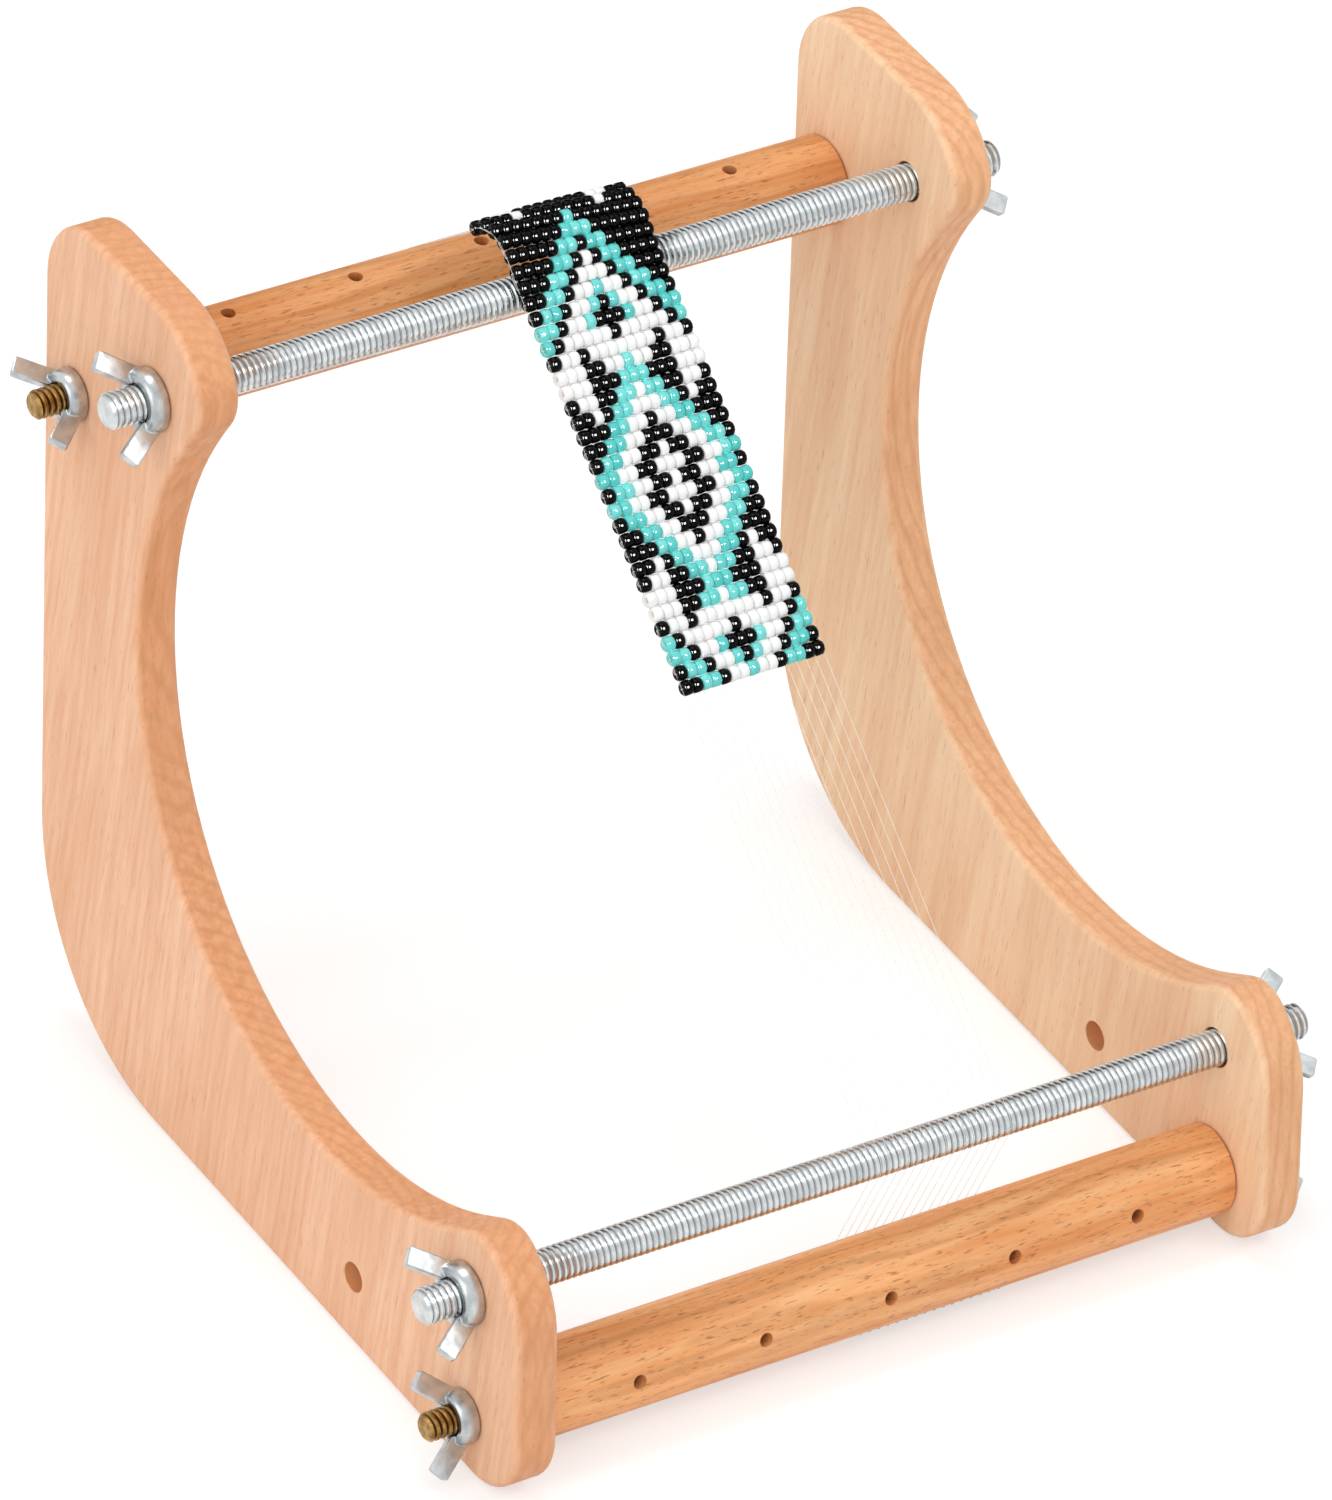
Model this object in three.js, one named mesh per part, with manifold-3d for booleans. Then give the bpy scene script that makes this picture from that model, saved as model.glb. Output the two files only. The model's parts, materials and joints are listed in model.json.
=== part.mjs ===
// A bench-top bead loom: two C-shaped beech cheeks, two threaded tie rods, two turning
// rollers on hanger bolts, eight wing nuts, and a strip of loom-woven beadwork on its warp.
// Millimetres. +X to the weaver's right, +Y away from the weaver, +Z up from the bench.
// The origin is on the bench, midway between the cheeks and midway front to back.

import * as THREE from 'three';
import { mergeVertices } from 'three/addons/utils/BufferGeometryUtils.js';
import Module from 'manifold-3d';

const wasm = await Module();
wasm.setup();

// Driving dimensions: the cheeks
const workingWidth = 222;
const cheekThickness = 13;
const edgeRound = 2;
const crownAboveRod = 26.4;
const backTopRound = 19;
const noseTopRound = 27.9;
const noseRound = 13.2;
const bowRound = 107.8;
const hornRound = 13;
const frontRound = 27;
const toeRound = 16.8;
const heelRound = 69.6;

// Driving dimensions: where the cheek's corners lie before rounding. The heel, the crown, the nose
// and the throat are measured from the upper rod, and the others from the lower rod.
const heelBack = 16.4;
const backPastRoller = 24;
const crownForward = 9.1;
const noseForward = 22.2;
const noseRise = 7.6;
const throatBack = 3.7;
const throatDrop = 41.6;
const bowBack = 159.7;
const bowRise = 19.8;
const hollowBack = 55.7;
const hollowDrop = 15.2;
const hornForward = 2.6;
const hornRise = 21.8;
const frontForward = 21.5;
const frontRise = 10;
const toeForward = 33.7;

// Driving dimensions: where the axes lie, forward of the upper rod and up from the bench
const upperRodHeight = 209;
const lowerRodForward = 183.6;
const lowerRodHeight = 51.3;
const upperRollerBack = 34.2;
const upperRollerDrop = 22.1;
const lowerRollerForward = 7;
const lowerRollerDrop = 35.6;
const spareHoleBack = 47.8;
const spareHoleDrop = 32;

// Driving dimensions: tie rods, rollers, hanger bolts and holes
const rodDiameter = 10;
const rodStandOut = 14.5;
const rodChamfer = 0.9;
const rodHoleDiameter = 11;
const spareHoleDiameter = 8.3;
const rollerDiameter = 25;
const rollerEndGap = 0.3;
const rollerEdge = 0.8;
const boltDiameter = 8;
const boltStandOut = 12.7;
const boltChamfer = 0.8;
const boltDepth = 28;
const boltHoleDiameter = 8.8;
const boltSocketGap = 0.3;
const pegHoleDiameter = 4;
const pegHoleDepth = 12;
const pegHoleCount = 5;
const pegHolePitch = 39.3;
const upperPegTilt = 90;
const lowerPegTilt = 17;

// Driving dimensions: wing nuts
const nutSeatGap = 0.3;
const nutThreadGap = 0.3;
const nutHeight = 5;
const nutCollar = 1;
const rodNutBase = 17.8;
const boltNutBase = 15;
const wingThickness = 2.4;
const wingWidth = 5.4;
const wingEdge = 0.35;
const wingFootInset = 2.3;
const wingFootHeight = 2.9;
const rodTipSpan = 27.2;
const rodTipHeight = 12.4;
const boltTipSpan = 25.6;
const boltTipHeight = 11.8;

// Driving dimensions: beadwork and warp
const beadDiameter = 4.1;
const beadLength = 2.93;
const beadsAcross = 15;
const beadRows = 34;
const rowGroove = 1.2;
const beadGroove = 0.5;
const workRestGap = 0.3;
const workLength = 113.5;
const workSlant = 0.057;
const workAtRod = 6;
const workStandUp = 8.5;
const archRadius = 11.5;
const rowTurnAtEnd = 9;
const rowTurnFrom = 25;
const threadDiameter = 0.6;
const warpTieDiameter = 1.6;
const lowerTieTurn = 288;
const upperTieTurn = 250;

// Facets: how finely round forms are stepped, and the most of an edge that two arcs take together
const chordError = 0.05;
const fullestFit = 0.999;
const rodSides = 32;
const rollerSides = 48;
const boltSides = 24;
const nutSides = 24;
const domeSteps = 3;
const rodWarpSteps = 6;
const rollerWarpSteps = 9;
const holeSides = 28;
const pegSides = 16;
const tieSides = 8;
const degree = Math.PI / 180;

// Materials, one for each finish
const beech = new THREE.MeshStandardMaterial({ color: 0xe3b48a, roughness: 0.55, metalness: 0 });
const rollerBeech = new THREE.MeshStandardMaterial({ color: 0xd0925c, roughness: 0.55, metalness: 0 });
const zinc = new THREE.MeshStandardMaterial({ color: 0xc4c8ca, roughness: 0.3, metalness: 1 });
const brassy = new THREE.MeshStandardMaterial({ color: 0x9c7a45, roughness: 0.35, metalness: 1 });
const beads = new THREE.MeshStandardMaterial({ color: 0x3d6f6c, roughness: 0.15, metalness: 0 });
const nylon = new THREE.MeshStandardMaterial({ color: 0xf2f2ee, roughness: 0.3, metalness: 0 });

// Solids: a closed geometry becomes a solid for joining and cutting, and turns back to a geometry
function solid(geometry) {
  const bare = geometry.clone();
  bare.deleteAttribute('normal');
  bare.deleteAttribute('uv');
  const merged = mergeVertices(bare, 1e-4);
  const vertProperties = new Float32Array(merged.attributes.position.array);
  const triVerts = new Uint32Array(merged.index.array);
  return new wasm.Manifold(new wasm.Mesh({ numProp: 3, vertProperties, triVerts }));
}

function geometryOf(manifold) {
  const mesh = manifold.getMesh();
  const geometry = new THREE.BufferGeometry();
  geometry.setAttribute('position', new THREE.BufferAttribute(mesh.vertProperties, 3));
  geometry.setIndex(new THREE.BufferAttribute(mesh.triVerts, 1));
  return geometry;
}

// A round bar or hole along X, centred where it is told
function barAlongX(diameter, length, x, y, z, sides) {
  const bar = new THREE.CylinderGeometry(diameter / 2, diameter / 2, length, sides);
  bar.rotateZ(-Math.PI / 2);
  bar.translate(x, y, z);
  return bar;
}

// A place in the side view: how far forward of the upper rod, and how far up from the bench
function sideView(forward, up) {
  return new THREE.Vector2(forward, up);
}

const upperRod = sideView(0, upperRodHeight);
const lowerRod = sideView(lowerRodForward, lowerRodHeight);
const upperRoller = sideView(-upperRollerBack, upperRodHeight - upperRollerDrop);
const lowerRoller = sideView(lowerRodForward + lowerRollerForward, lowerRodHeight - lowerRollerDrop);
const spareHole = sideView(lowerRodForward - spareHoleBack, lowerRodHeight - spareHoleDrop);

// The cheek's corners before rounding, from the heel up the back, over the nose,
// down the bow and round the horn to the toe
const crown = upperRodHeight + crownAboveRod;
const cheekCorners = [
  { at: sideView(-heelBack, 0), round: heelRound },
  { at: sideView(-upperRollerBack - backPastRoller, crown), round: backTopRound },
  { at: sideView(crownForward, crown), round: noseTopRound },
  { at: sideView(noseForward, upperRodHeight + noseRise), round: noseRound },
  { at: sideView(-throatBack, upperRodHeight - throatDrop), round: bowRound },
  { at: sideView(lowerRodForward - bowBack, lowerRodHeight + bowRise), round: bowRound },
  { at: sideView(lowerRodForward - hollowBack, lowerRodHeight - hollowDrop), round: bowRound },
  { at: sideView(lowerRodForward + hornForward, lowerRodHeight + hornRise), round: hornRound },
  { at: sideView(lowerRodForward + frontForward, lowerRodHeight + frontRise), round: frontRound },
  { at: sideView(lowerRodForward + toeForward, 0), round: toeRound },
];

// Rounds each corner with an arc tangent to both its edges. Two arcs share an edge too short for both.
function roundedOutline(corners) {
  const count = corners.length;
  const bends = corners.map(({ at, round }, i) => {
    const back = corners[(i + count - 1) % count].at.clone().sub(at);
    const onward = corners[(i + 1) % count].at.clone().sub(at);
    const half = back.angleTo(onward) / 2;
    return { at, round, back, onward, half, reach: round / Math.tan(half) };
  });
  const points = [];
  bends.forEach(({ at, round, back, onward, half, reach }, i) => {
    const backShare = back.length() / (reach + bends[(i + count - 1) % count].reach);
    const onwardShare = onward.length() / (reach + bends[(i + 1) % count].reach);
    const fit = Math.min(1, fullestFit * backShare, fullestFit * onwardShare);
    const radius = round * fit;
    back.normalize();
    onward.normalize();
    const centre = back.clone().add(onward).normalize().multiplyScalar(radius / Math.sin(half)).add(at);
    const start = back.clone().multiplyScalar(reach * fit).add(at).sub(centre);
    const end = onward.clone().multiplyScalar(reach * fit).add(at).sub(centre);
    const sweep = Math.atan2(start.cross(end), start.dot(end));
    const step = 2 * Math.acos(1 - chordError / radius);
    const steps = Math.max(3, Math.ceil(Math.abs(sweep) / step));
    for (let k = 0; k <= steps; k += 1) {
      points.push(start.clone().rotateAround(new THREE.Vector2(), (sweep * k) / steps).add(centre));
    }
  });
  return points;
}

const cheekOutline = roundedOutline(cheekCorners);
const backEdge = Math.min(...cheekOutline.map((p) => p.x));
const frontEdge = Math.max(...cheekOutline.map((p) => p.x));
const middle = (backEdge + frontEdge) / 2;

// Side view places in the loom's own frame
const yOf = (place) => middle - place.x;

// A cheek: the outline with rounded edges, drilled for rods, bolts and the spare rod position
function cheekGeometry() {
  const depth = cheekThickness - 2 * edgeRound;
  const plate = new THREE.ExtrudeGeometry(new THREE.Shape(cheekOutline), {
    depth,
    bevelEnabled: true,
    bevelThickness: edgeRound,
    bevelSize: edgeRound,
    bevelOffset: -edgeRound,
    bevelSegments: 2,
    steps: 1,
  });
  plate.translate(-middle, 0, -depth / 2);
  const forwardAxis = new THREE.Vector3(0, -1, 0);
  const upAxis = new THREE.Vector3(0, 0, 1);
  const outwardAxis = new THREE.Vector3(-1, 0, 0);
  plate.applyMatrix4(new THREE.Matrix4().makeBasis(forwardAxis, upAxis, outwardAxis));
  let cheek = solid(plate);
  const holes = [
    { place: upperRod, diameter: rodHoleDiameter },
    { place: lowerRod, diameter: rodHoleDiameter },
    { place: upperRoller, diameter: boltHoleDiameter },
    { place: lowerRoller, diameter: boltHoleDiameter },
    { place: spareHole, diameter: spareHoleDiameter },
  ];
  holes.forEach(({ place, diameter }) => {
    const drill = barAlongX(diameter, 2 * cheekThickness, 0, yOf(place), place.y, holeSides);
    cheek = cheek.subtract(solid(drill));
  });
  return geometryOf(cheek);
}

// A profile of [radius, along] pairs turned about X, closed on its axis
function turned(profile, sides) {
  const points = profile.map(([radius, along]) => new THREE.Vector2(radius, along));
  const lathe = new THREE.LatheGeometry(points, sides);
  lathe.rotateZ(-Math.PI / 2);
  return lathe;
}

function chamferedBar(diameter, length, chamfer, sides) {
  const radius = diameter / 2;
  const half = length / 2;
  return turned([
    [0, -half],
    [radius - chamfer, -half],
    [radius, -half + chamfer],
    [radius, half - chamfer],
    [radius - chamfer, half],
    [0, half],
  ], sides);
}

// A roller: a dowel bored at both ends for its hanger bolts, with a row of blind peg holes
const rollerLength = workingWidth - 2 * rollerEndGap;
const socketDepth = boltDepth + boltSocketGap;

function rollerGeometry(pegTilt) {
  let roller = solid(chamferedBar(rollerDiameter, rollerLength, rollerEdge, rollerSides));
  [-1, 1].forEach((side) => {
    const bore = boltDiameter + 2 * boltSocketGap;
    const socket = barAlongX(bore, 2 * socketDepth, (side * rollerLength) / 2, 0, 0, boltSides);
    roller = roller.subtract(solid(socket));
  });
  for (let k = 0; k < pegHoleCount; k += 1) {
    const x = (k - (pegHoleCount - 1) / 2) * pegHolePitch;
    const bore = pegHoleDiameter / 2;
    const drill = new THREE.CylinderGeometry(bore, bore, 2 * pegHoleDepth, pegSides);
    drill.translate(0, -rollerDiameter / 2, 0);
    drill.rotateX(-pegTilt * degree);
    drill.translate(x, 0, 0);
    roller = roller.subtract(solid(drill));
  }
  return geometryOf(roller);
}

// A wing nut standing on the YZ plane: a low domed hub over a collar, and two flat wings that
// flare up and out, with their broad faces turned to the thumb that drives them round
function wingNutGeometry(thread, base, tipSpan, tipHeight) {
  const bore = thread / 2 + nutThreadGap;
  const baseRadius = base / 2;
  const mouth = (bore + baseRadius) / 2;
  const profile = [[0, 0], [baseRadius, 0]];
  for (let k = 0; k <= domeSteps; k += 1) {
    const angle = (90 * degree * k) / domeSteps;
    const radius = mouth + (baseRadius - mouth) * Math.cos(angle);
    profile.push([radius, nutCollar + (nutHeight - nutCollar) * Math.sin(angle)]);
  }
  profile.push([0, nutHeight]);
  let nut = solid(turned(profile, nutSides));
  const foot = new THREE.Vector2(baseRadius - wingFootInset, wingFootHeight);
  const tip = new THREE.Vector2(tipSpan / 2, tipHeight);
  const along = tip.clone().sub(foot);
  const reach = along.length() - wingEdge;
  const side = wingWidth / 2 - wingEdge;
  [0, Math.PI].forEach((halfTurn) => {
    const plate = new THREE.Shape();
    plate.moveTo(0, -side);
    plate.lineTo(reach, -side);
    plate.lineTo(reach, side);
    plate.lineTo(0, side);
    const wing = new THREE.ExtrudeGeometry(plate, {
      depth: wingThickness - 2 * wingEdge,
      bevelEnabled: true,
      bevelThickness: wingEdge,
      bevelSize: wingEdge,
      bevelSegments: 1,
      steps: 1,
    });
    wing.translate(0, 0, wingEdge - wingThickness / 2);
    wing.rotateZ(along.angle());
    wing.translate(foot.x, foot.y, 0);
    wing.rotateZ(-Math.PI / 2);
    wing.rotateX(halfTurn);
    nut = nut.add(solid(wing));
  });
  nut = nut.subtract(solid(barAlongX(2 * bore, 4 * nutHeight, 0, 0, 0, nutSides)));
  return geometryOf(nut);
}

// A reach from a centre at an angle, in the side view
const arm = (angle, reach) => new THREE.Vector2(Math.cos(angle) * reach, Math.sin(angle) * reach);
const warpAngle = lowerRod.clone().sub(upperRod).angle() - 2 * Math.PI;
const frontNormal = warpAngle + Math.PI / 2;

// The way of the work in the side view, from its last row up to its first. It runs straight up
// past the rod, and there the slack work arches over towards the roller. A distance along it
// gives a place and the way out of the surface.
const workReach = rodDiameter / 2 + workRestGap + beadDiameter / 2;
const archStart = arm(frontNormal, workReach).add(upperRod).sub(arm(warpAngle, workStandUp));
const archCentre = archStart.clone().sub(arm(frontNormal, archRadius));
function workAt(distance) {
  const past = distance - workLength - workStandUp;
  if (past < 0) {
    return { place: archStart.clone().sub(arm(warpAngle, past)), out: arm(frontNormal, 1) };
  }
  const angle = frontNormal + past / archRadius;
  return { place: arm(angle, archRadius).add(archCentre), out: arm(angle, 1) };
}

// How far the middle of the work lies to the right, and how a row turns towards the first row
const workTotal = beadRows * beadDiameter;
const workCentre = (distance) => workAtRod + workSlant * Math.max(workLength - distance, 0);
function rowTurn(distance) {
  const start = workLength - rowTurnFrom;
  const share = Math.max(distance - start, 0) / (workTotal - start);
  return Math.tan(rowTurnAtEnd * degree * share ** 2);
}

// The beadwork: one ridge for each row of beads, and grooves between the beads on the side that shows
function beadworkGeometry() {
  const halfWidth = (beadsAcross * beadLength) / 2;
  const upper = 2 * beadsAcross + 1;
  const lower = 3;
  const stations = 2 * beadRows;
  const positions = [];
  for (let i = 0; i <= stations; i += 1) {
    const distance = (i * beadDiameter) / 2;
    const thick = beadDiameter / 2 - (i % 2 === 1 ? 0 : rowGroove);
    const turn = rowTurn(distance);
    const addPoint = (share, reach) => {
      const w = halfWidth * (2 * share - 1);
      const { place, out } = workAt(Math.max(distance - w * turn, 0));
      const side = place.clone().addScaledVector(out, reach);
      positions.push(workCentre(distance) + w, yOf(side), side.y);
    };
    for (let k = 0; k < upper; k += 1) {
      const level = k % 2 === 1 || i === 0 || i === stations;
      addPoint(k / (upper - 1), level ? thick : thick - beadGroove);
    }
    for (let k = lower - 1; k >= 0; k -= 1) {
      addPoint(k / (lower - 1), -thick);
    }
  }
  return loft(positions, upper, lower, stations + 1);
}

// Joins rings of equal count into one closed skin. A ring goes along its upper side and back
// along its lower side, and each end is closed by steps along both.
function loft(positions, upper, lower, rings) {
  const ringSize = upper + lower;
  const index = [];
  for (let i = 0; i + 1 < rings; i += 1) {
    for (let k = 0; k < ringSize; k += 1) {
      const a = i * ringSize + k;
      const b = i * ringSize + ((k + 1) % ringSize);
      index.push(a, b, a + ringSize, b, b + ringSize, a + ringSize);
    }
  }
  const last = (rings - 1) * ringSize;
  let above = 0;
  let below = 0;
  while (above < upper - 1 || below < lower - 1) {
    const stepAbove = (above + 1) * (lower - 1) <= (below + 1) * (upper - 1);
    const under = ringSize - 1 - below;
    const next = stepAbove ? above + 1 : under - 1;
    index.push(above, under, next, last + above, last + next, last + under);
    above += stepAbove ? 1 : 0;
    below += stepAbove ? 0 : 1;
  }
  const geometry = new THREE.BufferGeometry();
  geometry.setAttribute('position', new THREE.Float32BufferAttribute(positions, 3));
  geometry.setIndex(index);
  return geometry;
}

// A stretch of the warp: one thread at each side of every bead, all tied to a cord behind a roller.
// waysOf gives a thread's points in the side view, and centreAt the middle of the warp at each.
function warpGeometry(waysOf, centreAt, tieAt) {
  let warp = null;
  for (let strand = 0; strand <= beadsAcross; strand += 1) {
    const w = (strand - beadsAcross / 2) * beadLength;
    const way = waysOf(w);
    const positions = [];
    way.forEach((place, k) => {
      const before = way[Math.max(k - 1, 0)];
      const after = way[Math.min(k + 1, way.length - 1)];
      const onward = after.clone().sub(before).normalize();
      const out = new THREE.Vector2(-onward.y, onward.x);
      const x = centreAt(k) + w;
      const half = threadDiameter / 2;
      [[1, 1], [-1, 1], [-1, -1], [1, -1]].forEach(([sx, so]) => {
        const corner = place.clone().addScaledVector(out, so * half);
        positions.push(x + sx * half, yOf(corner), corner.y);
      });
    });
    const thread = solid(loft(positions, 2, 2, way.length));
    warp = warp === null ? thread : warp.add(thread);
  }
  const tieLength = (beadsAcross + 1) * beadLength;
  const tie = barAlongX(warpTieDiameter, tieLength, centreAt(1), yOf(tieAt), tieAt.y, tieSides);
  return geometryOf(warp.add(solid(tie)));
}

// Points from one angle to another round a centre
function turnsRound(centre, reach, from, to, steps) {
  const points = [];
  for (let k = 0; k <= steps; k += 1) {
    points.push(arm(from + ((to - from) * k) / steps, reach).add(centre));
  }
  return points;
}

const threadReach = workRestGap + threadDiameter / 2;
const tieReach = rollerDiameter / 2 + workRestGap + warpTieDiameter / 2;

// From the last row over the lower rod and down behind the lower roller
function lowerWarpGeometry() {
  const rodReach = rodDiameter / 2 + threadReach;
  const rollerReach = rollerDiameter / 2 + threadReach;
  const down = lowerRoller.clone().sub(lowerRod);
  const crossing = Math.acos((rodReach + rollerReach) / down.length());
  const leave = down.angle() - 2 * Math.PI + crossing;
  const way = [
    workAt(0).place,
    ...turnsRound(lowerRod, rodReach, frontNormal, leave, rodWarpSteps),
    ...turnsRound(lowerRoller, rollerReach, leave + Math.PI, lowerTieTurn * degree, rollerWarpSteps),
  ];
  const slide = workSlant * way[0].distanceTo(way[1]);
  const centreAt = (k) => workCentre(0) + (k > 0 ? slide : 0);
  const tieAt = arm(lowerTieTurn * degree, tieReach).add(lowerRoller);
  return warpGeometry(() => way, centreAt, tieAt);
}

// From the first row down to the upper roller and round behind it
function upperWarpGeometry() {
  const rollerReach = rollerDiameter / 2 + threadReach;
  const waysOf = (w) => {
    const start = workAt(workTotal - w * rowTurn(workTotal) + workRestGap).place;
    const back = start.clone().sub(upperRoller);
    const touch = back.angle() + Math.acos(rollerReach / back.length());
    const round = turnsRound(upperRoller, rollerReach, touch, upperTieTurn * degree, rollerWarpSteps);
    return [start, ...round];
  };
  const tieAt = arm(upperTieTurn * degree, tieReach).add(upperRoller);
  return warpGeometry(waysOf, () => workCentre(workTotal), tieAt);
}

// The loom, put together from its pieces
const loom = new THREE.Group();

function addPiece(name, geometry, material, position, rotation) {
  const mesh = new THREE.Mesh(geometry, material);
  mesh.name = name;
  mesh.position.copy(position);
  mesh.rotation.copy(rotation);
  loom.add(mesh);
  return mesh;
}

const plainTurn = new THREE.Euler(0, 0, 0);
const axisAt = (place, x) => new THREE.Vector3(x, yOf(place), place.y);
const outerFace = workingWidth / 2 + cheekThickness;
const cheekMiddle = (workingWidth + cheekThickness) / 2;

const cheekSolid = cheekGeometry();
addPiece('left_cheek', cheekSolid, beech, new THREE.Vector3(-cheekMiddle, 0, 0), plainTurn);
addPiece('right_cheek', cheekSolid, beech, new THREE.Vector3(cheekMiddle, 0, 0), plainTurn);

const rodLength = 2 * (outerFace + rodStandOut);
const rodSolid = chamferedBar(rodDiameter, rodLength, rodChamfer, rodSides);
addPiece('upper_threaded_rod', rodSolid, zinc, axisAt(upperRod, 0), plainTurn);
addPiece('lower_threaded_rod', rodSolid, zinc, axisAt(lowerRod, 0), plainTurn);

addPiece('upper_roller', rollerGeometry(upperPegTilt), rollerBeech, axisAt(upperRoller, 0), plainTurn);
addPiece('lower_roller', rollerGeometry(lowerPegTilt), rollerBeech, axisAt(lowerRoller, 0), plainTurn);

const boltInnerEnd = rollerLength / 2 - boltDepth;
const boltOuterEnd = outerFace + boltStandOut;
const boltSolid = chamferedBar(boltDiameter, boltOuterEnd - boltInnerEnd, boltChamfer, boltSides);
const rodNut = wingNutGeometry(rodDiameter, rodNutBase, rodTipSpan, rodTipHeight);
const boltNut = wingNutGeometry(boltDiameter, boltNutBase, boltTipSpan, boltTipHeight);

// Where each wing nut was left standing: degrees from wings level, front wing going down
const nutStops = [
  { name: 'upper_left_rod_wing_nut', nut: rodNut, place: upperRod, side: -1, turn: 43 },
  { name: 'upper_right_rod_wing_nut', nut: rodNut, place: upperRod, side: 1, turn: 40 },
  { name: 'lower_left_rod_wing_nut', nut: rodNut, place: lowerRod, side: -1, turn: 37 },
  { name: 'lower_right_rod_wing_nut', nut: rodNut, place: lowerRod, side: 1, turn: 35 },
  { name: 'upper_left_roller_wing_nut', nut: boltNut, place: upperRoller, side: -1, turn: 20 },
  { name: 'upper_right_roller_wing_nut', nut: boltNut, place: upperRoller, side: 1, turn: 28 },
  { name: 'lower_left_roller_wing_nut', nut: boltNut, place: lowerRoller, side: -1, turn: 54 },
  { name: 'lower_right_roller_wing_nut', nut: boltNut, place: lowerRoller, side: 1, turn: 52 },
];

[['upper', upperRoller], ['lower', lowerRoller]].forEach(([level, place]) => {
  [['left', -1], ['right', 1]].forEach(([hand, side]) => {
    const x = (side * (boltInnerEnd + boltOuterEnd)) / 2;
    addPiece(`${level}_${hand}_hanger_bolt`, boltSolid, brassy, axisAt(place, x), plainTurn);
  });
});

nutStops.forEach(({ name, nut, place, side, turn }) => {
  const flip = side < 0 ? Math.PI : 0;
  const x = side * (outerFace + nutSeatGap);
  addPiece(name, nut, zinc, axisAt(place, x), new THREE.Euler(turn * degree, 0, flip));
});

addPiece('beadwork', beadworkGeometry(), beads, new THREE.Vector3(), plainTurn);
addPiece('warp_threads', lowerWarpGeometry(), nylon, new THREE.Vector3(), plainTurn);
addPiece('upper_warp_threads', upperWarpGeometry(), nylon, new THREE.Vector3(), plainTurn);

export default loom;
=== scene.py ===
# The looks of a bench-top bead loom: beech cheeks and rollers, threaded rods, wing nuts, and a
# started strip of glass beadwork on clear warp threads. Metres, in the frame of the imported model:
# +X to the weaver's right, +Y away from the weaver, +Z up from the bench.

import json
import math
import random

import bmesh
import bpy
from mathutils import Matrix, Vector


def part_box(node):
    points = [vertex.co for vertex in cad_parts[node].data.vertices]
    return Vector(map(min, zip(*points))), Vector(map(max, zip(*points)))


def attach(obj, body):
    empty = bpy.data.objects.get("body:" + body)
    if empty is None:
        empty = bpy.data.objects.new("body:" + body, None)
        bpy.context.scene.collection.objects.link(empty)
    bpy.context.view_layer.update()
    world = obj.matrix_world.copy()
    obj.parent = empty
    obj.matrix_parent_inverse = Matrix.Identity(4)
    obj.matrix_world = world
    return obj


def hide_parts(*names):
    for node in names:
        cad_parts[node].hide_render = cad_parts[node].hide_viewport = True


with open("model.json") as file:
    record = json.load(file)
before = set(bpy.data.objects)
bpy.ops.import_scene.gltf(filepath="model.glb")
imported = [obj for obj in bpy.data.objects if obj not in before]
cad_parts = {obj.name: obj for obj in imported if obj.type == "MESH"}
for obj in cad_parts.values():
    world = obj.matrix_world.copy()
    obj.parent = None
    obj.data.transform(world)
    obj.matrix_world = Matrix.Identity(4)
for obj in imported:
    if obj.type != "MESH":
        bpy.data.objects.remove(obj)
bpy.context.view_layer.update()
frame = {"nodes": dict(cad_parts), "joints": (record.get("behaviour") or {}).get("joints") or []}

MM = 0.001
SIDE_X = {"left": -1, "right": 1}
across = Vector((1, 0, 0))


# Where the joints' axes lie, seen from the side
def axis_of(joint_name):
    joint = next(j for j in frame["joints"] if j["name"] == joint_name)
    return Vector((0, joint["pos_m"][1], joint["pos_m"][2]))


upper_rod = axis_of("upper_left_rod_nut_turn")
lower_rod = axis_of("lower_left_rod_nut_turn")
upper_roller = axis_of("upper_roller_turn")
lower_roller = axis_of("lower_roller_turn")
spare_hole = lower_rod + Vector((0, 47.8, -32)) * MM

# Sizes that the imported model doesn't state by itself
rod_diameter = 10 * MM
roller_diameter = 25 * MM
bolt_diameter = 8 * MM
bolt_socket = 8.6 * MM
bolt_socket_depth = 28.3 * MM
peg_hole_diameter = 4 * MM
peg_hole_depth = 12 * MM
peg_hole_pitch = 39.3 * MM
bead_diameter = 4.1 * MM
bead_length = 2.93 * MM
beads_across = 15
bead_rows = 34
rows_below_middle = 13
rest_gap = 0.3 * MM
work_length = 113.5 * MM
work_slant = 0.057
work_at_rod = 6 * MM
work_stand_up = 8.5 * MM
arch_radius = 11.5 * MM
row_turn_at_end = math.radians(9)
row_turn_from = 25 * MM
thread_diameter = 0.22 * MM


# Hands: choosing, entering and leaving a mesh, and finishing it
def only(piece):
    bpy.ops.object.select_all(action="DESELECT")
    piece.select_set(True)
    bpy.context.view_layer.objects.active = piece


def enter(piece):
    only(piece)
    bpy.ops.object.mode_set(mode="EDIT")
    bpy.ops.mesh.select_all(action="SELECT")


def leave():
    bpy.ops.object.mode_set(mode="OBJECT")


def pick(piece, kind, wanted):
    bpy.ops.mesh.select_mode(type=kind)
    bpy.ops.mesh.select_all(action="DESELECT")
    mesh = bmesh.from_edit_mesh(piece.data)
    parts = {"VERT": mesh.verts, "EDGE": mesh.edges, "FACE": mesh.faces}[kind]
    for part in parts:
        if wanted(part):
            part.select_set(True)
    mesh.select_flush_mode()
    bmesh.update_edit_mesh(piece.data)


def middle_of(part):
    return sum((v.co for v in part.verts), Vector()) / len(part.verts)


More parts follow.
